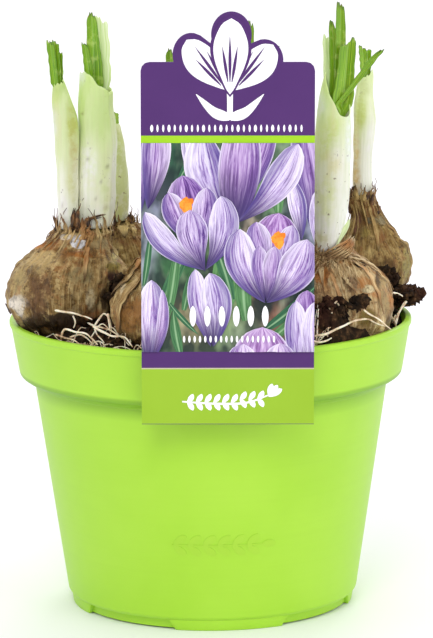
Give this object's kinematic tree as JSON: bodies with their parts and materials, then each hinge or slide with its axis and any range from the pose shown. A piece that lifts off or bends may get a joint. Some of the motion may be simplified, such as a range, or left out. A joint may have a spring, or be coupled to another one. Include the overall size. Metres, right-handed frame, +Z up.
{
  "type": "potted crocus",
  "caption": "Collared nursery pot of potting soil with sprouting crocus corms half sunk in it, pale sheathed shoots with green leaf tips, and a picture label hooked over the rim.",
  "frame": {"origin": "centre of the pot's foot circle, on the surface that the pot stands on", "axes": "+Z up along the pot's axis; the label faces -Y; +X is to the right of someone looking at the label"},
  "size_m": [0.121, 0.121, 0.1836],
  "materials": {
    "pot": "satin",
    "soil": "matte",
    "corm": "matte",
    "sheath": "satin",
    "bract": "satin",
    "leaf": "satin",
    "root": "matte",
    "label": "satin",
    "hook": "satin"
  },
  "bodies": {
    "root": {"bract_left": "bract", "bract_right": "bract", "corm_back": "corm", "corm_back_left": "corm", "corm_back_right": "corm", "corm_front": "corm", "corm_left": "corm", "corm_middle": "corm", "corm_right": "corm", "label": "label", "label_hook": "hook", "leaf_back_1": "leaf", "leaf_back_2": "leaf", "leaf_back_3": "leaf", "leaf_back_4": "leaf", "leaf_back_5": "leaf", "leaf_back_left": "leaf", "leaf_back_right_1": "leaf", "leaf_back_right_2": "leaf", "leaf_front_1": "leaf", "leaf_front_2": "leaf", "leaf_front_3": "leaf", "leaf_left_1": "leaf", "leaf_left_2": "leaf", "leaf_left_3": "leaf", "leaf_left_4": "leaf", "leaf_left_5": "leaf", "leaf_middle_1": "leaf", "leaf_middle_2": "leaf", "leaf_middle_3": "leaf", "leaf_right_1": "leaf", "leaf_right_2": "leaf", "leaf_right_3": "leaf", "leaf_right_4": "leaf", "pot": "pot", "root_back": "root", "root_left_1": "root", "root_left_2": "root", "root_left_3": "root", "root_left_4": "root", "root_right_1": "root", "root_right_2": "root", "root_right_3": "root", "sheath_back_1": "sheath", "sheath_back_2": "sheath", "sheath_back_left": "sheath", "sheath_back_right": "sheath", "sheath_front": "sheath", "sheath_left_1": "sheath", "sheath_left_2": "sheath", "sheath_middle": "sheath", "sheath_right": "sheath", "soil": "soil"}
  },
  "joints": []
}
